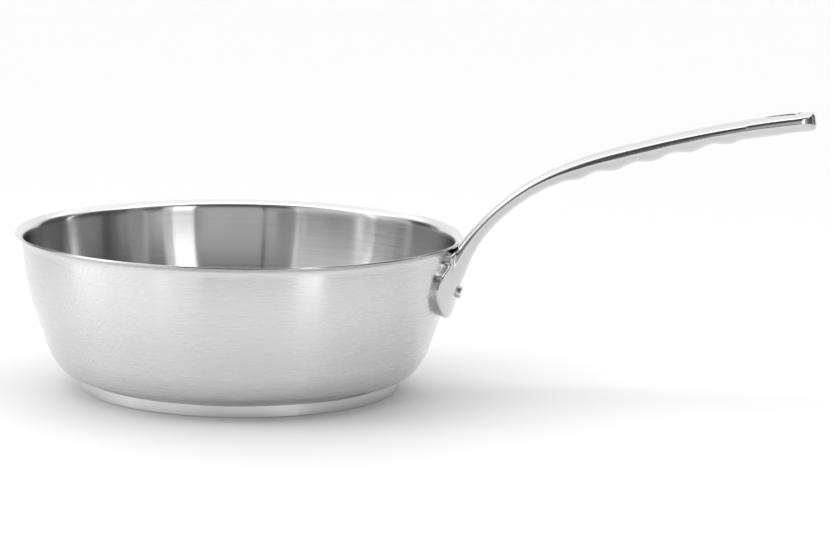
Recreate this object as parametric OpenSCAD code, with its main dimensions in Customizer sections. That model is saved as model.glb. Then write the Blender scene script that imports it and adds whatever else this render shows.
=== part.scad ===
// Saucier pan: a flared stainless vessel with a rolled-out pouring rim, a capsule base
// with an aluminium heat-spreading disc pressed between vessel and cap, and one cast
// stainless handle held to the wall by two rivets, one above the other.
// Millimetres. +Z up, +X along the handle, origin at the centre of the base underside,
// so the XZ plane is the plane of symmetry.

/* [Vessel] */
// Radius of the outer edge of the pouring rim
rim_r = 120; // [119.5:0.1:120.5]
// Height of the outer edge of the pouring rim above the table
rim_z = 83.0; // [82.7:0.1:83.3]
// Sheet thickness of the vessel
wall_t = 1.0; // [0.8:0.1:1.2]

/* [Base] */
// Outer radius of the base cap
base_r = 86; // [85.8:0.1:86.2]
// Sheet thickness of the base cap
cap_t = 0.8; // [0.6:0.1:1]
// Height of the base cap's side wall
cap_h = 6.4; // [6:0.1:6.4]
// Height of the whole base, from the table to the vessel's underside
base_h = 8.3; // [8.2:0.1:8.4]

/* [Rivets] */
// Radius of the rivet shanks and of their bores
shank_r = 2.5; // [2:0.1:2.8]
// Radius of the rivets' outer heads
head_r = 3.3; // [3:0.1:3.6]
// Height of the lower rivet on the wall
low_z = 58.6; // [57.6:0.1:59]
// Height of the upper rivet on the wall
up_z = 71; // [70.5:0.1:71.5]

/* [Handle] */
// Half width of the rivet pad at its widest
pad_w = 26; // [24:0.5:27]
// Depth of the finger waves under the grip, crest to hollow
wave = 1.7; // [0:0.1:2.4]
// Pitch of the finger waves
wave_p = 19.7; // [18:0.1:21]
// Radius of the hanging slot's wide end
slot_r = 5; // [4:0.1:5.5]
// Distance between the centres of the slot's two ends
slot_l = 12; // [8:0.5:13]

/* [Hidden] */
$fn = 180;
gap = 0.02; // clearance between surfaces that meet along the curved wall

// ---- vessel profile, [radius, height] -------------------------------------------------

function bez(p, t) = let(s = 1 - t)
    s * s * s * p[0] + 3 * s * s * t * p[1] + 3 * s * t * t * p[2] + t * t * t * p[3];
function curve(p, n) = [for (i = [0:n - 1]) bez(p, i / n)];

// outer face: bottom edge, corner, wall and flared lip, each one cubic
bottom_edge = [[88.5, base_h], [91.5, base_h], [93, 8.9], [94.4, 10]];
corner = [[94.4, 10], [98.2, 12.6], [101.8, 19.2], [103.4, 24]];
wall = [[103.4, 24], [109.2, 41.3], [114.3, 53], [116.1, 77]];
lip = [[116.1, 77], [116.38, 80.8], [116.7, 81.4], [rim_r, rim_z]];
outer = concat(curve(bottom_edge, 6), curve(corner, 8), curve(wall, 18), curve(lip, 10), [[rim_r, rim_z]]);

// inner face: the outer one moved in by the sheet thickness
function tang(p, i) = let(d = p[min(i + 1, len(p) - 1)] - p[max(i - 1, 0)]) d / norm(d);
inner = [for (i = [len(outer) - 1:-1:0]) let(t = tang(outer, i)) outer[i] + wall_t * [-t[1], t[0]]];

// outer radius at a height, and the wall's lean there
function at_z(z, i = 14) = (i >= len(outer) - 2 || outer[i + 1][1] >= z) ?
    let(a = outer[i], b = outer[i + 1]) a[0] + (z - a[1]) * (b[0] - a[0]) / (b[1] - a[1]) : at_z(z, i + 1);
function lean(z) = atan((at_z(z + 1) - at_z(z - 1)) / 2);

module pan_body() color([0.80, 0.80, 0.79]) difference() {
    rotate_extrude() polygon(concat([[0, base_h]], outer, inner, [[0, base_h + wall_t]]));
    shank_bore(low_z);
    shank_bore(up_z);
}

// ---- base -----------------------------------------------------------------------------

// solid aluminium, its edge exposed in a fine groove between the cap and the vessel
module heat_disc() color([0.75, 0.76, 0.77]) rotate_extrude() polygon([
    [0, cap_t], [base_r - cap_t - 0.8, cap_t], [base_r - cap_t, cap_t + 0.8], [base_r - cap_t, cap_h + 0.4],
    [base_r + 0.2, cap_h + 0.4], [base_r + 0.8, base_h], [0, base_h]]);

module base_cap() color([0.70, 0.70, 0.70]) rotate_extrude() polygon([
    [0, 0], [base_r - 0.8, 0], [base_r - 0.35, 0.12], [base_r - 0.12, 0.35], [base_r, 0.8], [base_r, cap_h],
    [base_r - cap_t, cap_h], [base_r - cap_t, cap_t + 0.8], [base_r - cap_t - 0.8, cap_t], [0, cap_t]]);

// ---- rivets ---------------------------------------------------------------------------

// local +Z leaves the wall at right angles, 0 on its outer face at height z
module on_wall(z) translate([at_z(z), 0, z]) rotate([0, 90 + lean(z), 0]) children();
module shank_bore(z) on_wall(z) translate([0, 0, -6]) cylinder(r = shank_r, h = 26, $fn = 48);

// outer end of each rivet above the wall, and how far its head reaches down
low_end = 8.4;
up_end = 6.6;
module rivet(z, end, deep) color([0.78, 0.77, 0.75]) on_wall(z) rotate_extrude($fn = 64) polygon([
    [0, -wall_t - 1.75], [2.6, -wall_t - 1.6], [4.3, -wall_t - 1.15], [5.1, -wall_t - 0.55], [5.2, -wall_t - 0.3],
    [shank_r, -wall_t - 0.1], [shank_r, end - deep], [head_r, end - deep], [head_r, end - 0.45],
    [head_r - 0.2, end - 0.15], [head_r - 0.7, end], [0, end]]);
module rivet_lower() rivet(low_z, low_end, 2.8);
module rivet_upper() rivet(up_z, up_end, 2.2);

// ---- handle ---------------------------------------------------------------------------

// grip stations from the foot inside the pad to beyond the tip:
// [crown x, crown z, keel x, keel z, half width]
st = [
    [99, 47.5, 106.5, 46, 12.5], [102.5, 54.5, 113.5, 52, 13], [108.5, 63, 120.6, 60, 13.5], [114, 72, 123.6, 67.5, 12.5],
    [118.2, 81, 126.6, 75.7, 10.8], [124.5, 89.3, 130.8, 84, 9], [132.8, 98.8, 137.8, 93.4, 8.5],
    [142.7, 108.2, 147.2, 102.6, 8.6], [154.2, 117.2, 158.2, 111, 8.8], [167.5, 125.2, 170.8, 117.8, 9.2],
    [181.7, 131.6, 184.3, 122.1, 9.6], [196.3, 136.9, 198, 126.1, 10], [211, 141.2, 213, 130.4, 10.3],
    [226, 145.6, 228, 134.9, 10.6], [241, 149.5, 242.5, 139.1, 10.9], [256, 153.1, 257.5, 143, 11.1],
    [271, 156.2, 272, 146.3, 11.3], [285, 159, 286, 148.4, 11.4], [298, 160.9, 299, 150.8, 11.4], [311, 162.2, 312, 153.6, 11.4], [324, 163.4, 325, 156, 11.4]];
// uniform cubic B-spline through the stations
function spl(u) = let(i = min(floor(u), len(st) - 4), t = u - i, s = 1 - t)
    (s * s * s * st[i] + (3 * t * t * t - 6 * t * t + 4) * st[i + 1]
    + (3 * s * s * s - 6 * s * s + 4) * st[i + 2] + t * t * t * st[i + 3]) / 6;

tip_x = 304.7;   // end of the handle
tip_l = 11.5;    // length of its rounded end, seen from above
wave_x = 182.5;  // crest of the first finger wave
function fade(x) = min(1, max(0, (x - 172) / 9)) * min(1, max(0, (270 - x) / 7));
function wav(x) = fade(x) * wave / 2 * cos(360 * (x - wave_x) / wave_p);

// squarish crown above the widest line, straighter flanks down to a rounded keel
M = 28;
mid = 0.53; // height of the widest line, keel 0 to crown 1
function sgn_pow(v, e) = sign(v) * pow(abs(v), e);
function round_k(x) = x < tip_x - tip_l ? 1 : pow(max(0, 1 - pow((x - tip_x + tip_l) / tip_l, 2.2)), 1 / 2.2);
function ring(u) = let(
    p = spl(u), a = [p[0], p[1]], b0 = [p[2], p[3]], n = (a - b0) / norm(a - b0),
    b = b0 - wav(b0[0]) * n, x = (a[0] + b[0]) / 2, k = round_k(x), m = (a + b) / 2,
    sq = 1 - pow(1 - k, 3) * 0.75)
    [for (j = [0:M - 1]) let(
        g = 360 * j / M, c = cos(g), s = sin(g),
        y = p[4] * k * sgn_pow(c, s > 0 ? 0.7 : 1.15),
        v = s > 0 ? mid + (1 - mid) * sgn_pow(s, 0.95) : mid + mid * sgn_pow(s, 1.0),
        q = m + (v - 0.5) * sq * (a - b))
        [q[0], y, q[1]]];

// ring positions: even along the grip, then closing in on the tip
function u_of_x(x, lo = 12, hi = 18, n = 24) = n == 0 ? (lo + hi) / 2 :
    let(c = (lo + hi) / 2, p = spl(c)) (p[0] + p[2]) / 2 < x ? u_of_x(x, c, hi, n - 1) : u_of_x(x, lo, c, n - 1);
u_tip = u_of_x(tip_x - tip_l);
us = concat([for (i = [0:15]) i * 0.5], [for (i = [0:35]) 8 + i * 6.4 / 36], [for (i = [0:5]) 14.4 + i * (u_tip - 14.4) / 6],
    [for (s = [0, 0.3, 0.52, 0.7, 0.83, 0.92, 0.97, 0.995]) u_of_x(tip_x - tip_l * (1 - s))]);

module loft(r) {
    n = len(r);
    m = len(r[0]);
    polyhedron(points = [for (a = r) each a], faces = concat(
        [[for (k = [0:m - 1]) k]],
        [for (i = [0:n - 2]) for (k = [0:m - 1]) [i * m + k, (i + 1) * m + k, (i + 1) * m + (k + 1) % m]],
        [for (i = [0:n - 2]) for (k = [0:m - 1]) [i * m + k, (i + 1) * m + (k + 1) % m, i * m + (k + 1) % m]],
        [[for (k = [m - 1:-1:0]) (n - 1) * m + k]]), convexity = 8);
}
module stem() loft([for (u = us) ring(u)]);

// pad outline on the wall, [half width, height], from its lowest point up to the neck
pad_half = [[0, 45], [8, 45.4], [13.6, 47.2], [18.8, 50.6], [24.2, 55.2], [pad_w, 60.5], [25.4, 66], [22.6, 70.4], [15.8, 72.6], [13.2, 75.4], [13.6, 79.2], [7, 80.5], [0, 80.5]];
pad_loop = concat(pad_half, [for (i = [len(pad_half) - 2:-1:1]) [-pad_half[i][0], pad_half[i][1]]]);
// the pad's front is a dome, thickest on the centre line, thinner towards the neck
function pad_t(u, z) = let(e = z < 60 ? 5.7 + 0.4 * (z - 43) / 17 : 6.1 - 2.5 * min(1, (z - 60) / 12))
    2.9 + (e - 2.9) * (1 - pow(min(1, abs(u) / 26), 2));
// point of the pad: lateral, height and distance from the wall, wrapped round the vessel
function wrap(u, z, n) = let(r = at_z(min(z, 77)), l = lean(min(z, 76)), q = r + n * cos(l), f = 180 / PI * u / r)
    [q * cos(f), q * sin(f), z - n * sin(l)];
// loft from the back, across the rounded front edge, to the middle of the dome
pad_rings = [[1, -3, 0], [1, 0, 0.55], [0.995, 0, 0.82], [0.975, 0, 0.96], [0.93, 0, 1], [0.75, 0, 1], [0.5, 0, 1], [0.25, 0, 1], [0.03, 0, 1]];
module pad() loft([for (k = pad_rings) [for (p = pad_loop)
    let(u = p[0] * k[0], z = 61 + (p[1] - 61) * k[0]) wrap(u, z, k[1] + k[2] * pad_t(u, z))]]);

// everything the handle may not fill: the vessel, its lip and the air above the lip
module vessel_space() rotate_extrude() polygon(concat([[0, 20]],
    [for (p = outer) if (p[1] > 24.5 && p[1] < 77.2) [p[0] + gap, p[1]]],
    [for (p = outer) if (p[1] >= 77.2) [p[0] + 0.12, p[1] - 0.12]], [[rim_r + 0.3, rim_z], [rim_r + 0.3, 100], [0, 100]]));

// slot for hanging: wide end towards the tip, narrow end towards the pan
module hang_slot() translate([292.5, 0, 155.5]) rotate([0, -9, 0]) translate([0, 0, -20]) {
    cylinder(r = slot_r, h = 40, $fn = 64);
    translate([-slot_l, 0, 0]) cylinder(r = slot_r * 0.5, h = 40, $fn = 48);
    c = slot_r * 0.5 / slot_l;
    s = sqrt(1 - c * c);
    linear_extrude(height = 40) polygon([[slot_r * -c, slot_r * s], [slot_r * -c, -slot_r * s],
        [-slot_l - slot_r * 0.5 * c, -slot_r * 0.5 * s], [-slot_l - slot_r * 0.5 * c, slot_r * 0.5 * s]]);
}

module handle() color([0.82, 0.82, 0.82]) difference() {
    union() { pad(); stem(); }
    vessel_space();
    shank_bore(low_z);
    shank_bore(up_z);
    on_wall(low_z) translate([0, 0, low_end - 2.8]) cylinder(r = head_r, h = 12, $fn = 64);
    on_wall(up_z) translate([0, 0, up_end - 2.2]) cylinder(r = head_r, h = 12, $fn = 64);
    hang_slot();
}

pan_body();
heat_disc();
base_cap();
handle();
rivet_lower();
rivet_upper();
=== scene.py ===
import math

import bpy
import numpy as np
from mathutils import Matrix, Vector


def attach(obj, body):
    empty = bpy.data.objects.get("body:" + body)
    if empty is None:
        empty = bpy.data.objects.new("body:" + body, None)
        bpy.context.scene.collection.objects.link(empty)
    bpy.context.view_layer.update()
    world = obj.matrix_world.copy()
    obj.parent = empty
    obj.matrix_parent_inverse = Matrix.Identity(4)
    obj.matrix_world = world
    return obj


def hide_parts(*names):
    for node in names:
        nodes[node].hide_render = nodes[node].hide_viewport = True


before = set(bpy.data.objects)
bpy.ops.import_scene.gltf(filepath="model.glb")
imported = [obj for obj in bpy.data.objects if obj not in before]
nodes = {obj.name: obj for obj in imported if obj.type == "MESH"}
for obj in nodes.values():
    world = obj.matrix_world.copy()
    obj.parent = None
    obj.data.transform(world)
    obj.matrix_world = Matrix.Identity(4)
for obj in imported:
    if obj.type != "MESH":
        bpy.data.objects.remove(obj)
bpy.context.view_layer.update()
MM = 0.001

# ------------------------------------------------------------------ camera
ALPHA = math.radians(14.7)      # the handle is turned this far towards the camera
CAM_H, CAM_D, F_PX = 314.36, 1481.23, 2777.0
YAW, PITCH, ROLL = math.radians(3.697), math.radians(9.7413), math.radians(1.2506)


def turned(v):
    """A direction seen from the camera's side, in the row frame."""
    c, s = math.cos(ALPHA), math.sin(ALPHA)
    return Vector((v[0] * c - v[1] * s, v[0] * s + v[1] * c, v[2]))


fwd = turned((math.sin(YAW) * math.cos(PITCH), math.cos(YAW) * math.cos(PITCH), -math.sin(PITCH)))
right0 = turned((math.cos(YAW), -math.sin(YAW), 0))
up0 = right0.cross(fwd)
right = right0 * math.cos(ROLL) + up0 * math.sin(ROLL)
up = -right0 * math.sin(ROLL) + up0 * math.cos(ROLL)
cam_d = bpy.data.cameras.new("cam")
cam_d.sensor_width = 36.0
cam_d.lens = 36.0 * F_PX / 833.0
cam_d.clip_start, cam_d.clip_end = 0.05, 60
cam = bpy.data.objects.new("cam", cam_d)
bpy.context.scene.collection.objects.link(cam)
bpy.context.scene.camera = cam
cam.rotation_mode = "QUATERNION"
cam.rotation_quaternion = Matrix((right, up, -fwd)).transposed().to_quaternion()
cam.location = turned((0, -CAM_D, CAM_H)) * MM


# ------------------------------------------------------------------ profile of the vessel, mm
def bez(p, n):
    p = np.array(p, float)
    t = (np.arange(n) / n)[:, None]
    return (1 - t) ** 3 * p[0] + 3 * (1 - t) ** 2 * t * p[1] + 3 * (1 - t) * t * t * p[2] + t ** 3 * p[3]


RIM_R, RIM_Z, WALL_T = 120.0, 83.0, 1.0
BASE_R, CAP_T, CAP_H, BASE_H = 86.0, 0.8, 6.4, 8.3
outer = np.vstack([
    bez([(88.5, BASE_H), (91.5, BASE_H), (93, 8.9), (94.4, 10)], 16),
    bez([(94.4, 10), (98.2, 12.6), (101.8, 19.2), (103.4, 24)], 30),
    bez([(103.4, 24), (109.2, 41.3), (114.3, 53), (116.1, 77)], 90),
    bez([(116.1, 77), (116.38, 80.8), (116.7, 81.4), (RIM_R, RIM_Z)], 30),
    [(RIM_R, RIM_Z)],
])


def tangents(p):
    d = np.gradient(p, axis=0)
    return d / np.linalg.norm(d, axis=1)[:, None]


tan_o = tangents(outer)
inner = outer + WALL_T * np.stack([-tan_o[:, 1], tan_o[:, 0]], 1)
_w = (outer[:, 1] > 12) & (outer[:, 1] < 77.01)
WZ, WR = outer[_w, 1], outer[_w, 0]
WL = np.arctan2(tan_o[_w, 0], tan_o[_w, 1])


def wall_r(z):
    return np.interp(z, WZ, WR)


def wall_lean(z):
    return np.interp(z, WZ, WL)


# ------------------------------------------------------------------ mesh helpers
def make(name, verts, faces, normals=None):
    me = bpy.data.meshes.new(name)
    me.vertices.add(len(verts))
    me.vertices.foreach_set("co", (np.asarray(verts, np.float32) * MM).ravel())
    if isinstance(faces, np.ndarray):
        n, k = faces.shape
        me.loops.add(n * k)
        me.loops.foreach_set("vertex_index", faces.astype(np.int32).ravel())
        me.polygons.add(n)
        me.polygons.foreach_set("loop_start", np.arange(0, n * k, k, dtype=np.int32))
    else:
        flat = [i for f in faces for i in f]
        me.loops.add(len(flat))
        me.loops.foreach_set("vertex_index", flat)
        me.polygons.add(len(faces))
        me.polygons.foreach_set("loop_start", np.cumsum([0] + [len(f) for f in faces[:-1]]).astype(np.int32))
    me.update(calc_edges=True)
    me.validate()
    me.polygons.foreach_set("use_smooth", [True] * len(me.polygons))
    if normals is not None and len(normals) == len(me.vertices):
        me.normals_split_custom_set_from_vertices([tuple(map(float, n)) for n in normals])
    ob = bpy.data.objects.new(name, me)
    bpy.context.scene.collection.objects.link(ob)
    return ob


def fillet(points, default=0.0, steps=5):
    """Polyline of (x, y[, radius]) with each corner rounded by its radius, and a support point beside each arc."""
    out = []
    n = len(points)
    for i, p in enumerate(points):
        r = p[2] if len(p) > 2 else default
        a, b, c = np.array(points[i - 1][:2], float), np.array(p[:2], float), np.array(points[(i + 1) % n][:2], float)
        if r <= 0 or i in (0, n - 1):
            out.append(b)
            continue
        u, v = (a - b) / np.linalg.norm(a - b), (c - b) / np.linalg.norm(c - b)
        half = math.acos(max(-1, min(1, float(u @ v)))) / 2
        if abs(half - math.pi / 2) < 1e-4:
            out.append(b)
            continue
        d = min(r / math.tan(half), 0.45 * np.linalg.norm(a - b), 0.45 * np.linalg.norm(c - b))
        r = d * math.tan(half)
        centre = b + (u + v) / np.linalg.norm(u + v) * r / math.sin(half)
        p0, p1 = b + u * d, b + v * d
        a0, a1 = math.atan2(*(p0 - centre)[::-1]), math.atan2(*(p1 - centre)[::-1])
        da = (a1 - a0 + math.pi) % (2 * math.pi) - math.pi
        out.append(b + u * min(d * 1.25, 0.49 * np.linalg.norm(a - b)))
        for k in range(steps + 1):
            t = a0 + da * k / steps
            out.append(centre + r * np.array((math.cos(t), math.sin(t))))
        out.append(b + v * min(d * 1.25, 0.49 * np.linalg.norm(c - b)))
    return np.array(out)


def lathe(name, prof, segs=360, place=None):
    """Closed solid of revolution about Z from an open profile that starts and ends on the axis, or a closed one off it."""
    prof = np.array(prof, float)
    on_axis = prof[0][0] < 1e-6 and prof[-1][0] < 1e-6
    body = prof[1:-1] if on_axis else prof
    m = len(body)
    ang = np.arange(segs) * 2 * math.pi / segs
    v = np.stack([np.outer(np.cos(ang), body[:, 0]), np.outer(np.sin(ang), body[:, 0]), np.tile(body[:, 1], (segs, 1))], 2).reshape(-1, 3)
    faces = []
    span = m - 1 if on_axis else m
    for i in range(segs):
        a, b = i * m, (i + 1) % segs * m
        for k in range(span):
            k2 = (k + 1) % m
            faces.append((a + k, b + k, b + k2, a + k2))
    if on_axis:
        v = np.vstack([v, [[0, 0, prof[0][1]], [0, 0, prof[-1][1]]]])
        lo, hi = len(v) - 2, len(v) - 1
        for i in range(segs):
            a, b = i * m, (i + 1) % segs * m
            faces.append((lo, b, a))
            faces.append((hi, a + m - 1, b + m - 1))
    if place is not None:
        v = v @ np.array(place.to_3x3()).T + np.array(place.translation)
    return make(name, v, faces)


# ------------------------------------------------------------------ handle, as a smooth field, mm
ST = np.array([
    [99, 47.5, 106.5, 46, 12.5], [102.5, 54.5, 113.5, 52, 13], [108.5, 63, 120.6, 60, 13.5], [114, 72, 123.6, 67.5, 12.5],
    [118.2, 81, 126.6, 75.7, 10.8], [124.5, 89.3, 130.8, 84, 9], [132.8, 98.8, 137.8, 93.4, 8.5],
    [142.7, 108.2, 147.2, 102.6, 8.6], [154.2, 117.2, 158.2, 111, 8.8], [167.5, 125.2, 170.8, 117.8, 9.2],
    [181.7, 131.6, 184.3, 122.1, 9.6], [196.3, 136.9, 198, 126.1, 10], [211, 141.2, 213, 130.4, 10.3],
    [226, 145.6, 228, 134.9, 10.6], [241, 149.5, 242.5, 139.1, 10.9], [256, 153.1, 257.5, 143, 11.1],
    [271, 156.2, 272, 146.3, 11.3], [285, 159, 286, 148.4, 11.4], [298, 160.9, 299, 150.8, 11.4],
    [311, 162.2, 312, 153.6, 11.4], [324, 163.4, 325, 156, 11.4]])
U_MAX = len(ST) - 3 - 1e-6
TIP_X, TIP_L = 304.7, 11.5
WAVE, WAVE_P, WAVE_X = 1.7, 19.7, 182.5
MID = 0.53
P_TOP, P_LOW = 2.7, 1.75


def spl(u):
    u = np.clip(u, 0, U_MAX)
    i = np.floor(u).astype(int)
    t = (u - i)[..., None]
    s = 1 - t
    p = (s ** 3 * ST[i] + (3 * t ** 3 - 6 * t * t + 4) * ST[i + 1] + (3 * s ** 3 - 6 * s * s + 4) * ST[i + 2] + t ** 3 * ST[i + 3]) / 6
    d = (-3 * s * s * ST[i] + (9 * t * t - 12 * t) * ST[i + 1] + (-9 * s * s + 12 * s) * ST[i + 2] + 3 * t * t * ST[i + 3]) / 6
    return p, d


def smoothstep(x, a, b):
    t = np.clip((x - a) / (b - a), 0, 1)
    return t * t * (3 - 2 * t)


def wav(x):
    return smoothstep(x, 171, 182) * smoothstep(-x, -271, -262) * WAVE / 2 * np.cos(2 * math.pi * (x - WAVE_X) / WAVE_P)


_uu = np.linspace(0, U_MAX, 700)
_ll = np.linspace(-0.7, 1.7, 25)
_p, _ = spl(_uu)
_cx = _p[:, None, 2] + _ll[None] * (_p[:, None, 0] - _p[:, None, 2])
_cz = _p[:, None, 3] + _ll[None] * (_p[:, None, 1] - _p[:, None, 3])


def plane_map(x, z, u=None):
    """Station and height share (0 keel, 1 crown) of points in the handle's plane. Newton steps from a coarse guess."""
    x, z = np.asarray(x, float), np.asarray(z, float)
    if u is None:
        u = np.empty(x.shape)
        best = np.full(x.shape, 1e18)
        lam = np.empty(x.shape)
        # nearest sample, station by station
        for i in range(0, len(_uu), 4):
            ax, az, bx, bz = _p[i, 0], _p[i, 1], _p[i, 2], _p[i, 3]
            ex, ez = ax - bx, az - bz
            l = np.clip(((x - bx) * ex + (z - bz) * ez) / (ex * ex + ez * ez), -0.8, 1.8)
            d = (x - bx - l * ex) ** 2 + (z - bz - l * ez) ** 2
            m = d < best
            best[m], u[m], lam[m] = d[m], _uu[i], l[m]
    else:
        lam = np.full(x.shape, 0.5)
    for _ in range(6):
        p, d = spl(u)
        ex, ez = p[..., 0] - p[..., 2], p[..., 1] - p[..., 3]
        fx, fz = p[..., 2] + lam * ex - x, p[..., 3] + lam * ez - z
        jux, juz = d[..., 2] + lam * (d[..., 0] - d[..., 2]), d[..., 3] + lam * (d[..., 1] - d[..., 3])
        det = jux * ez - juz * ex
        det = np.where(np.abs(det) < 1e-3, 1e-3, det)
        du = (fx * ez - fz * ex) / det
        dl = (jux * fz - juz * fx) / det
        u = np.clip(u - np.clip(du, -0.7, 0.7), 0, U_MAX)
        lam = lam - np.clip(dl, -0.7, 0.7)
    return u, lam


def smin(a, b, k):
    h = np.maximum(k - np.abs(a - b), 0) / k
    return np.minimum(a, b) - h * h * h * k / 6


def smax(a, b, k):
    return -smin(-a, -b, k)


# outline of the rivet pad, [half width, height]
PAD_HALF = np.array([(0, 45), (8, 45.4), (13.6, 47.2), (18.8, 50.6), (24.2, 55.2), (26, 60.5), (25.4, 66), (22.6, 70.4), (15.8, 72.6), (13.2, 75.4), (13.6, 79.2), (7, 80.5), (0, 80.5)])


def closed_spline(ctrl, n=12):
    c = np.array(ctrl, float)
    m = len(c)
    out = []
    for i in range(m):
        q = [c[(i + k) % m] for k in (-1, 0, 1, 2)]
        for t in np.arange(n) / n:
            out.append(((1 - t) ** 3 * q[0] + (3 * t ** 3 - 6 * t * t + 4) * q[1] + (-3 * t ** 3 + 3 * t * t + 3 * t + 1) * q[2] + t ** 3 * q[3]) / 6)
    return np.array(out)


def poly_distance(poly, px, pz):
    """Signed distance from a grid of points to a closed polygon, negative inside."""
    best = np.full(px.shape, 1e18)
    inside = np.zeros(px.shape, bool)
    for i in range(len(poly)):
        a, b = poly[i], poly[(i + 1) % len(poly)]
        e = b - a
        l = np.clip(((px - a[0]) * e[0] + (pz - a[1]) * e[1]) / max(e @ e, 1e-12), 0, 1)
        best = np.minimum(best, (px - a[0] - l * e[0]) ** 2 + (pz - a[1] - l * e[1]) ** 2)
        cross = (a[1] > pz) != (b[1] > pz)
        with np.errstate(divide="ignore", invalid="ignore"):
            xi = a[0] + (pz - a[1]) / (b[1] - a[1] + 1e-15) * e[0]
        inside ^= cross & (px < xi)
    d = np.sqrt(best)
    return np.where(inside, -d, d)


class Grid2:
    """Bicubic (Catmull-Rom) lookup of a 2-D field."""

    def __init__(self, x0, x1, z0, z1, h, f):
        self.x0, self.z0, self.h = x0, z0, h
        gx, gz = np.arange(x0, x1 + h, h), np.arange(z0, z1 + h, h)
        self.v = f(*np.meshgrid(gx, gz, indexing="ij"))

    def __call__(self, x, z):
        fx, fz = (x - self.x0) / self.h, (z - self.z0) / self.h
        fx = np.clip(fx, 1, self.v.shape[0] - 3.001)
        fz = np.clip(fz, 1, self.v.shape[1] - 3.001)
        i, j = fx.astype(int), fz.astype(int)
        tx, tz = fx - i, fz - j

        def w(t):
            return (-0.5 * t + t * t - 0.5 * t ** 3, 1 - 2.5 * t * t + 1.5 * t ** 3, 0.5 * t + 2 * t * t - 1.5 * t ** 3, -0.5 * t * t + 0.5 * t ** 3)

        wx, wz = w(tx), w(tz)
        out = 0
        for a in range(4):
            row = 0
            for b in range(4):
                row = row + wz[b] * self.v[i + a - 1, j + b - 1]
            out = out + wx[a] * row
        return out


pad_loop = closed_spline(np.vstack([PAD_HALF, (PAD_HALF * (-1, 1))[-2:0:-1]]))
pad_outline = Grid2(-34, 34, 36, 92, 0.4, lambda u, z: poly_distance(pad_loop, u, z))
space_poly = np.vstack([[(60, 20)], outer[(outer[:, 1] > 20) & (outer[:, 1] < 77.2)] + (-0.4, 0),
                        outer[outer[:, 1] >= 77.2] + (-0.3, 0.25), [(RIM_R + 0.05, RIM_Z + 0.2), (RIM_R + 0.3, RIM_Z + 1), (RIM_R + 0.3, 120), (60, 120)]])
space = Grid2(96, 128, 34, 104, 0.2, lambda r, z: poly_distance(space_poly, r, z))


def pad_t(u, z):
    e = 5.7 + 0.4 * smoothstep(z, 43, 60) - 2.5 * smoothstep(z, 60, 73)
    return 2.9 + (e - 2.9) * (1 - (u / 26) ** 2)


SLOT_X, SLOT_Z, SLOT_R, SLOT_L = 292.5, 155.5, 5.0, 12.0


def handle_parts(x, y, z, uv=None):
    """(solid before cutting, vessel's space) as signed distances."""
    ay = np.abs(y)
    u, lam = plane_map(x, z) if uv is None else uv
    p, _ = spl(u)
    h0 = np.hypot(p[..., 0] - p[..., 2], p[..., 1] - p[..., 3])
    v = (lam - MID) * h0
    low = MID * h0 + wav(p[..., 2])
    top = (1 - MID) * h0
    w = p[..., 4]

    def sect(q, size):
        a, b = ay / w, np.abs(v) / size
        r = (a ** q + b ** q + 1e-9) ** (1 / q)
        k = r ** (1 - q)
        ga, gb = k * a ** (q - 1) / w, k * b ** (q - 1) / size
        return (r - 1) / np.maximum(np.hypot(ga, gb), 1 / 40)

    stem = np.where(v > 0, sect(P_TOP, top), sect(P_LOW, low))
    stem = np.where((np.abs(lam - 0.5) > 1.25), np.maximum(stem, 8.0), stem)
    # flat foot inside the pad
    away = np.hypot(p[..., 2] + lam * (p[..., 0] - p[..., 2]) - x, p[..., 3] + lam * (p[..., 1] - p[..., 3]) - z)
    stem = np.where(u < 1e-6, np.maximum(stem, away), stem)
    # rounded end
    s = np.maximum(x - (TIP_X - TIP_L) + (z - 156) * 0.16, 0) / TIP_L
    tip = ((ay / 11.4) ** 2.3 + s ** 2.3) ** (1 / 2.3)
    tip = np.where(x > 270, (tip - 1) * 11.4, -12)
    stem = smax(stem, tip, 4.0)
    # pad on the wall
    rho = np.hypot(x, y)
    zc = np.clip(z, 30, 76.5)
    for _ in range(3):
        lean = wall_lean(zc)
        n = (rho - wall_r(zc)) * np.cos(lean) + (z - zc) * -np.sin(lean)
        zc = np.clip(z + n * np.sin(lean), 30, 76.5)
    lean = wall_lean(zc)
    n = (rho - wall_r(zc)) * np.cos(lean) - (z - zc) * np.sin(lean)
    zw = z + n * np.sin(lean)
    lat = wall_r(zc) * np.arctan2(y, np.maximum(x, 1))
    pad = smax(n - pad_t(lat, zw), pad_outline(lat, zw), 1.6)
    pad = np.maximum(pad, -n - 6)
    both = smin(stem, pad, 4.0)
    # hanging slot
    c, sn = math.cos(math.radians(9)), math.sin(math.radians(9))
    sx = (x - SLOT_X) * c + (z - SLOT_Z) * sn
    t = np.clip(-sx / SLOT_L, 0, 1)
    slot = np.hypot(sx + t * SLOT_L, y) - SLOT_R * (1 - 0.5 * t)
    both = smax(both, -slot, 1.4)
    return both, -space(rho, z)


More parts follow.
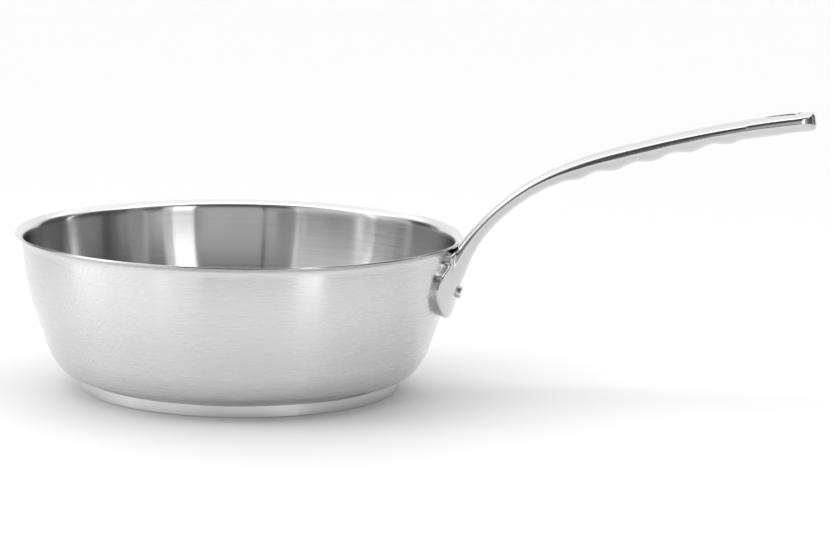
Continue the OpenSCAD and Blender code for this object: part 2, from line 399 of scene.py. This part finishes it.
def surface_nets(f, origin, h):
    ins = f < 0
    c = [ins[i:ins.shape[0] - 1 + i, j:ins.shape[1] - 1 + j, k:ins.shape[2] - 1 + k] for i in (0, 1) for j in (0, 1) for k in (0, 1)]
    total = sum(x.astype(np.int8) for x in c)
    cells = np.argwhere((total > 0) & (total < 8))
    index = np.full(total.shape, -1, np.int64)
    index[tuple(cells.T)] = np.arange(len(cells))
    corners = np.array([(i, j, k) for i in (0, 1) for j in (0, 1) for k in (0, 1)])
    vals = np.stack([f[tuple((cells + o).T)] for o in corners], 1)
    acc = np.zeros((len(cells), 3))
    cnt = np.zeros(len(cells))
    for a in range(8):
        for b in range(a + 1, 8):
            if np.abs(corners[a] - corners[b]).sum() != 1:
                continue
            m = (vals[:, a] < 0) != (vals[:, b] < 0)
            t = vals[m, a] / (vals[m, a] - vals[m, b])
            acc[m] += corners[a] + t[:, None] * (corners[b] - corners[a])
            cnt[m] += 1
    verts = origin + (cells + acc / cnt[:, None]) * h
    quads = []
    for ax in range(3):
        o1, o2 = [(1, 2), (2, 0), (0, 1)][ax]
        n = ins.shape[ax]
        a = np.take(ins, range(0, n - 1), ax)
        b = np.take(ins, range(1, n), ax)
        e = np.argwhere(a != b)
        e = e[(e[:, o1] > 0) & (e[:, o2] > 0) & (e[:, o1] < ins.shape[o1] - 1) & (e[:, o2] < ins.shape[o2] - 1)]
        d1, d2 = np.zeros(3, int), np.zeros(3, int)
        d1[o1], d2[o2] = 1, 1
        q = np.stack([index[tuple((e - d1 - d2).T)], index[tuple((e - d2).T)], index[tuple(e.T)], index[tuple((e - d1).T)]], 1)
        flip = ~a[tuple(e.T)]
        q[flip] = q[flip][:, ::-1]
        quads.append(q)
    quads = np.vstack(quads)
    return verts, quads[(quads >= 0).all(1)]


def build_handle(h=0.55):
    x0, x1, z0, z1, y1 = 106.0, 307.5, 39.0, 166.0, 28.6
    gx, gz = np.arange(x0, x1, h), np.arange(z0, z1, h)
    gy = (np.arange(int(y1 / h)) + 0.5) * h
    X, Z = np.meshgrid(gx, gz, indexing="ij")
    u, lam = plane_map(X, Z)
    f = np.empty((len(gx), len(gy), len(gz)), np.float32)
    for j, y in enumerate(gy):
        a, b = handle_parts(X, np.full_like(X, y), Z, (u, lam))
        f[:, j] = np.maximum(a, b)
    f = np.concatenate([f[:, ::-1], f], 1)
    v, q = surface_nets(f, np.array([x0, -gy[-1], z0]), h)

    def both(p):
        a, b = handle_parts(p[:, 0], p[:, 1], p[:, 2])
        return np.stack([a, b], 1)

    def grad(p, e=0.02):
        return np.stack([(both(p + d) - both(p - d)) / (2 * e) for d in np.eye(3) * e], 2)

    def settle(v, rounds):
        for _ in range(rounds):
            fv = both(v)
            g = grad(v)
            near = np.abs(fv) < 0.42 * h
            crease = near.all(1)
            k = fv.argmax(1)
            i = np.arange(len(v))
            step = lambda k: np.clip(fv[i, k] / np.maximum((g[i, k] ** 2).sum(1), 0.05), -h, h)[:, None] * g[i, k]
            v = v - step(k)
            # points beside an edge between the two surfaces go onto both
            if crease.any():
                w = v[crease]
                for _ in range(3):
                    for c in (0, 1):
                        fw = both(w)[:, c]
                        gw = grad(w)[:, c]
                        w = w - np.clip(fw / np.maximum((gw ** 2).sum(1), 0.05), -h, h)[:, None] * gw
                v[crease] = w
        return v, crease

    v, crease = settle(v, 1)
    # even out the grid along the surface, then settle again
    for _ in range(3):
        acc, cnt = np.zeros_like(v), np.zeros(len(v))
        for a, b in ((0, 1), (1, 2), (2, 3), (3, 0)):
            np.add.at(acc, q[:, a], v[q[:, b]])
            np.add.at(acc, q[:, b], v[q[:, a]])
            np.add.at(cnt, q[:, a], 1)
            np.add.at(cnt, q[:, b], 1)
        move = acc / np.maximum(cnt, 1)[:, None] - v
        move[crease] = 0
        v = v + 0.5 * move
        v, crease = settle(v, 1)
    fv = both(v)
    g = grad(v)
    k = fv.argmax(1)
    nrm = g[np.arange(len(v)), k]
    nrm /= np.linalg.norm(nrm, axis=1)[:, None]
    return v, q, nrm


hv, hq, hn = build_handle(0.55)
handle = make("handle_cast", hv, hq, hn)
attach(handle, "root")
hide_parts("handle")

# ------------------------------------------------------------------ vessel
i_lip = len(outer) - 1
keep_in = inner[:, 0] > 60
edge_r = 0.35
prof = [(0, BASE_H, 0), (BASE_R + 0.8, BASE_H, 0)]
prof += [(p[0], p[1], 0) for p in outer[:-1]]
prof += [(outer[-1][0], outer[-1][1], edge_r), (inner[-1][0], inner[-1][1], edge_r)]
prof += [(p[0], p[1], 0) for p in inner[-2::-1]]
prof += [(60, BASE_H + WALL_T, 0), (0, BASE_H + WALL_T, 0)]
vprof = fillet(prof)
vessel = lathe("vessel", vprof, 480)
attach(vessel, "root")
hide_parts("pan_body")

# ------------------------------------------------------------------ base
disc = lathe("disc", fillet([(0, CAP_T, 0), (BASE_R - CAP_T - 0.05, CAP_T, 0.3), (BASE_R - CAP_T - 0.05, CAP_H + 0.35, 0.05), (BASE_R + 0.15, CAP_H + 0.42, 0.2),
                             (BASE_R + 0.8, BASE_H - 0.02, 0.25), (0, BASE_H - 0.02, 0)]), 360)
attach(disc, "root")
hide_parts("heat_disc")
cap = lathe("cap", fillet([(0, 0, 0), (BASE_R, 0, 0.7), (BASE_R, CAP_H, 0.25),
                           (BASE_R - CAP_T, CAP_H, 0.2), (BASE_R - CAP_T, CAP_T + 0.8, 0.5), (BASE_R - CAP_T - 0.8, CAP_T, 0.3), (0, CAP_T, 0)]), 360)
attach(cap, "root")
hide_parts("base_cap")

# ------------------------------------------------------------------ rivets
SHANK_R, HEAD_R = 2.5, 3.3


def rivet(name, node, z, end, deep):
    lean = float(wall_lean(z))
    place = Matrix.Translation((float(wall_r(z)), 0, z)) @ Matrix.Rotation(math.pi / 2 + lean, 4, "Y")
    t = -WALL_T
    ob = lathe(name, fillet([(0, t - 1.75, 0), (2.6, t - 1.6, 2), (4.3, t - 1.15, 1.5), (5.1, t - 0.55, 0.4), (5.2, t - 0.3, 0.1), (SHANK_R, t - 0.1, 0.1),
                             (SHANK_R, end - deep, 0.1), (HEAD_R, end - deep, 0.1), (HEAD_R, end - 0.45, 0.25), (HEAD_R - 0.25, end - 0.12, 0.3), (HEAD_R - 0.8, end, 0.6), (0, end, 0)]), 96, place)
    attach(ob, "root")
    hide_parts(node)
    return ob


riv_lo = rivet("rivet_head_lower", "rivet_lower", 58.6, 8.4, 2.8)
riv_up = rivet("rivet_head_upper", "rivet_upper", 71.0, 6.6, 2.2)


# ------------------------------------------------------------------ materials
class Mat:
    def __init__(self, name, colour, rough, aniso=0.0, turn=0.0, metallic=1.0):
        self.m = bpy.data.materials.new(name)
        self.m.use_nodes = True
        self.nt = self.m.node_tree
        self.b = self.nt.nodes["Principled BSDF"]
        self.b.inputs["Base Color"].default_value = (*colour, 1)
        self.b.inputs["Metallic"].default_value = metallic
        self.b.inputs["Roughness"].default_value = rough
        self.b.inputs["Anisotropic"].default_value = aniso
        self.b.inputs["Anisotropic Rotation"].default_value = turn
        self.tc = self.node("ShaderNodeTexCoord")

    def node(self, kind, **kw):
        n = self.nt.nodes.new(kind)
        for k, v in kw.items():
            setattr(n, k, v)
        return n

    def link(self, a, b):
        self.nt.links.new(a, b)

    def math(self, op, a, b=None, c=None):
        n = self.node("ShaderNodeMath", operation=op)
        for i, x in enumerate((a, b, c)):
            if x is None:
                continue
            if isinstance(x, (int, float)):
                n.inputs[i].default_value = x
            else:
                self.link(x, n.inputs[i])
        return n.outputs[0]

    def around(self, k_ang, k_r, k_z):
        """Coordinates that run round the vessel: brushing lines follow the first one."""
        sep = self.node("ShaderNodeSeparateXYZ")
        self.link(self.tc.outputs["Object"], sep.inputs[0])
        ang = self.math("ARCTAN2", sep.outputs[1], sep.outputs[0])
        r = self.math("SQRT", self.math("ADD", self.math("MULTIPLY", sep.outputs[0], sep.outputs[0]), self.math("MULTIPLY", sep.outputs[1], sep.outputs[1])))
        com = self.node("ShaderNodeCombineXYZ")
        self.link(self.math("MULTIPLY", ang, k_ang), com.inputs[0])
        self.link(self.math("MULTIPLY", r, k_r), com.inputs[1])
        self.link(self.math("MULTIPLY", sep.outputs[2], k_z), com.inputs[2])
        return com.outputs[0]

    def noise(self, vec, scale=1.0, detail=3.0, rough=0.5):
        n = self.node("ShaderNodeTexNoise")
        n.inputs["Scale"].default_value = scale
        n.inputs["Detail"].default_value = detail
        n.inputs["Roughness"].default_value = rough
        self.link(vec, n.inputs["Vector"])
        return n.outputs["Fac"]

    def range(self, fac, lo, hi, flo=0.3, fhi=0.7):
        n = self.node("ShaderNodeMapRange")
        n.inputs["From Min"].default_value, n.inputs["From Max"].default_value = flo, fhi
        n.inputs["To Min"].default_value, n.inputs["To Max"].default_value = lo, hi
        self.link(fac, n.inputs["Value"])
        return n.outputs["Result"]

    def bump(self, h, strength, dist):
        n = self.node("ShaderNodeBump")
        n.inputs["Strength"].default_value = strength
        n.inputs["Distance"].default_value = dist
        self.link(h, n.inputs["Height"])
        self.link(n.outputs["Normal"], self.b.inputs["Normal"])

    def radial(self):
        t = self.node("ShaderNodeTangent", direction_type="RADIAL", axis="Z")
        self.link(t.outputs[0], self.b.inputs["Tangent"])


outside = Mat("vessel_outside", (0.69, 0.69, 0.69), 0.27, 0.9, 0.25)
outside.radial()
n = outside.noise(outside.around(3, 900, 2400), detail=4)
outside.link(outside.range(n, 0.255, 0.285), outside.b.inputs["Roughness"])
outside.bump(n, 0.05, 0.00002)

inside = Mat("vessel_inside", (0.60, 0.60, 0.59), 0.17, 1.0, 0.25)
inside.radial()
n = inside.noise(inside.around(2.5, 1500, 2600), detail=5, rough=0.6)
inside.link(inside.range(n, 0.15, 0.19), inside.b.inputs["Roughness"])
inside.link(inside.range(n, 0.57, 0.635, 0.35, 0.65), inside.b.inputs["Base Color"])
inside.bump(n, 0.12, 0.00002)

lip_m = Mat("vessel_lip", (0.66, 0.66, 0.66), 0.2)
n = lip_m.noise(lip_m.around(5, 900, 900))
lip_m.link(lip_m.range(n, 0.18, 0.26), lip_m.b.inputs["Roughness"])

base_m = Mat("base_satin", (0.80, 0.80, 0.80), 0.34, 0.3, 0.25)
base_m.radial()
n = base_m.noise(base_m.around(3, 1500, 1800), detail=4)
base_m.link(base_m.range(n, 0.28, 0.42), base_m.b.inputs["Roughness"])
base_m.bump(n, 0.15, 0.00002)

disc_m = Mat("disc_alu", (0.72, 0.73, 0.74), 0.4)
n = disc_m.noise(disc_m.around(4, 1200, 1200))
disc_m.link(disc_m.range(n, 0.34, 0.5), disc_m.b.inputs["Roughness"])

handle_m = Mat("handle_polish", (0.62, 0.62, 0.62), 0.18)
n = handle_m.noise(handle_m.tc.outputs["Object"], scale=60, detail=4)
handle_m.link(handle_m.range(n, 0.16, 0.20), handle_m.b.inputs["Roughness"])

rivet_m = Mat("rivet_polish", (0.74, 0.73, 0.72), 0.16)
n = rivet_m.noise(rivet_m.tc.outputs["Object"], scale=900, detail=3)
rivet_m.link(rivet_m.range(n, 0.12, 0.22), rivet_m.b.inputs["Roughness"])

vessel.data.materials.append(outside.m)
vessel.data.materials.append(inside.m)
vessel.data.materials.append(lip_m.m)
for p in vessel.data.polygons:
    c, nn = p.center, p.normal
    out = nn.x * c.x + nn.y * c.y > 0
    if c.z > 0.0829 or (c.z > 0.0806 and not out):
        p.material_index = 2
    elif c.z > (BASE_H + 0.5) * MM and (not out or nn.z > 0.5):
        p.material_index = 1
disc.data.materials.append(disc_m.m)
cap.data.materials.append(base_m.m)
handle.data.materials.append(handle_m.m)
riv_lo.data.materials.append(rivet_m.m)
riv_up.data.materials.append(rivet_m.m)

# ------------------------------------------------------------------ floor
# a white sheet that ends a little in front of the pan
c4 = [turned((x, y, -0.00005)) for x, y in ((-3.2, -0.62), (3.2, -0.62), (3.2, 3.4), (-3.2, 3.4))]
fme = bpy.data.meshes.new("floor")
fme.from_pydata([tuple(v) for v in c4], [], [(0, 1, 2, 3)])
floor = bpy.data.objects.new("floor", fme)
bpy.context.scene.collection.objects.link(floor)
fm = bpy.data.materials.new("floor_white")
fm.use_nodes = True
fm.node_tree.nodes["Principled BSDF"].inputs["Base Color"].default_value = (0.92, 0.92, 0.92, 1)
fm.node_tree.nodes["Principled BSDF"].inputs["Roughness"].default_value = 0.6
fm.node_tree.nodes["Principled BSDF"].inputs["Specular IOR Level"].default_value = 0.2
floor.data.materials.append(fm)

# ------------------------------------------------------------------ studio
# a dark room with an overhead sheet and a white sweep behind; seen directly it is plain white
world = bpy.data.worlds.new("studio")
bpy.context.scene.world = world
world.use_nodes = True
wt = world.node_tree
bg = wt.nodes["Background"]
tc = wt.nodes.new("ShaderNodeTexCoord")
rot = wt.nodes.new("ShaderNodeVectorRotate")
rot.rotation_type = "Z_AXIS"
rot.inputs["Angle"].default_value = -ALPHA
wt.links.new(tc.outputs["Generated"], rot.inputs["Vector"])
sep = wt.nodes.new("ShaderNodeSeparateXYZ")
wt.links.new(rot.outputs["Vector"], sep.inputs[0])


def wmath(op, a, b=None):
    n = wt.nodes.new("ShaderNodeMath")
    n.operation = op
    for i, x in enumerate((a, b)):
        if x is None:
            continue
        if isinstance(x, (int, float)):
            n.inputs[i].default_value = x
        else:
            wt.links.new(x, n.inputs[i])
    return n.outputs[0]


def step(x, a, b):
    n = wt.nodes.new("ShaderNodeMapRange")
    n.interpolation_type = "SMOOTHSTEP"
    n.inputs["From Min"].default_value, n.inputs["From Max"].default_value = a, b
    wt.links.new(x, n.inputs["Value"])
    return n.outputs["Result"]


def span(x, a, b, soft):
    return wmath("MULTIPLY", step(x, a - soft / 2, a + soft / 2), step(x, b + soft / 2, b - soft / 2))


rad = math.radians
az = wmath("ARCTAN2", sep.outputs[0], wmath("MULTIPLY", sep.outputs[1], -1))   # 0 towards the camera, positive to its right
el = wmath("ARCSINE", sep.outputs[2])
up_z = wmath("MAXIMUM", sep.outputs[2], 0.02)
px, py = wmath("DIVIDE", sep.outputs[0], up_z), wmath("DIVIDE", sep.outputs[1], up_z)
total = None


def add(mask, level):
    global total
    m = wmath("MULTIPLY", mask, level)
    total = m if total is None else wmath("ADD", total, m)


add(span(el, -4, 4, 0.1), 0.08)                                                        # the room
above = step(el, 0.02, 0.06)
add(wmath("MULTIPLY", wmath("MULTIPLY", span(px, -1.6, 1.3, 0.1), span(py, -0.40, 0.06, 0.08)), above), 2.1)    # overhead sheet, brighter in front
add(wmath("MULTIPLY", wmath("MULTIPLY", span(px, -1.6, 1.3, 0.1), span(py, 0.06, 1.25, 0.08)), above), 1.25)
for a0, a1, soft, low, high, level in (
        (-210, -138, 4, -90, 39, 1.03), (139, 210, 4, -90, 39, 1.03),                        # white sweep behind
        (38, 44, 2, -12, 50, 0.85), (44, 52, 2, -12, 50, 0.07), (58, 66, 2, -12, 50, 0.22),    # cards on the right
        (106, 110, 1, -12, 50, 1.40),
        (-101, -76, 4, -12, 50, 0.76), (-92, -83, 4, -12, 50, 0.20), (-110, -101, 2, -12, 50, 0.65),   # and on the left
        (-138, -128, 2, -12, 50, 0.20)):
    add(wmath("MULTIPLY", span(az, rad(a0), rad(a1), rad(soft)), span(el, rad(low), rad(high), rad(4))), level)
lp = wt.nodes.new("ShaderNodeLightPath")
seen = wmath("MAXIMUM", total, lp.outputs["Is Camera Ray"])
wt.links.new(seen, bg.inputs["Strength"])
bg.inputs["Color"].default_value = (1, 1, 1, 1)


def card(name, x0, y0, x1, y1, top, level):
    """Upright glowing panel from (x0, y0) to (x1, y1) on the camera's side, metres, facing the pan."""
    w = math.hypot(x1 - x0, y1 - y0)
    d = bpy.data.lights.new(name, "AREA")
    d.shape = "RECTANGLE"
    d.size, d.size_y = w, top
    d.energy = level * math.pi * w * top
    o = bpy.data.objects.new(name, d)
    bpy.context.scene.collection.objects.link(o)
    o.location = turned(((x0 + x1) / 2, (y0 + y1) / 2, top / 2))
    n = Vector((y1 - y0, x0 - x1, 0))
    if n.dot(Vector((x0 + x1, y0 + y1, 0))) > 0:
        n = -n
    o.rotation_mode = "QUATERNION"
    o.rotation_quaternion = turned(n).to_track_quat("-Z", "Y")
    o.visible_camera = False
    return o


card("strip_right", 0.435, -0.835, 0.61, -0.715, 0.75, 2.2)
card("panel_left", -0.38, -0.57, -0.62, -0.07, 0.80, 0.76)
card("strip_left", -0.622, -0.068, -0.634, -0.02, 0.80, 1.1)
card("front_far", -0.30, -1.30, 0.62, -1.30, 0.60, 0.52)
card("front_near", -0.27, -0.35, -0.105, -0.35, 0.26, 0.42)
scene = bpy.context.scene
scene.view_settings.view_transform = "Standard"
scene.view_settings.exposure = 0.0
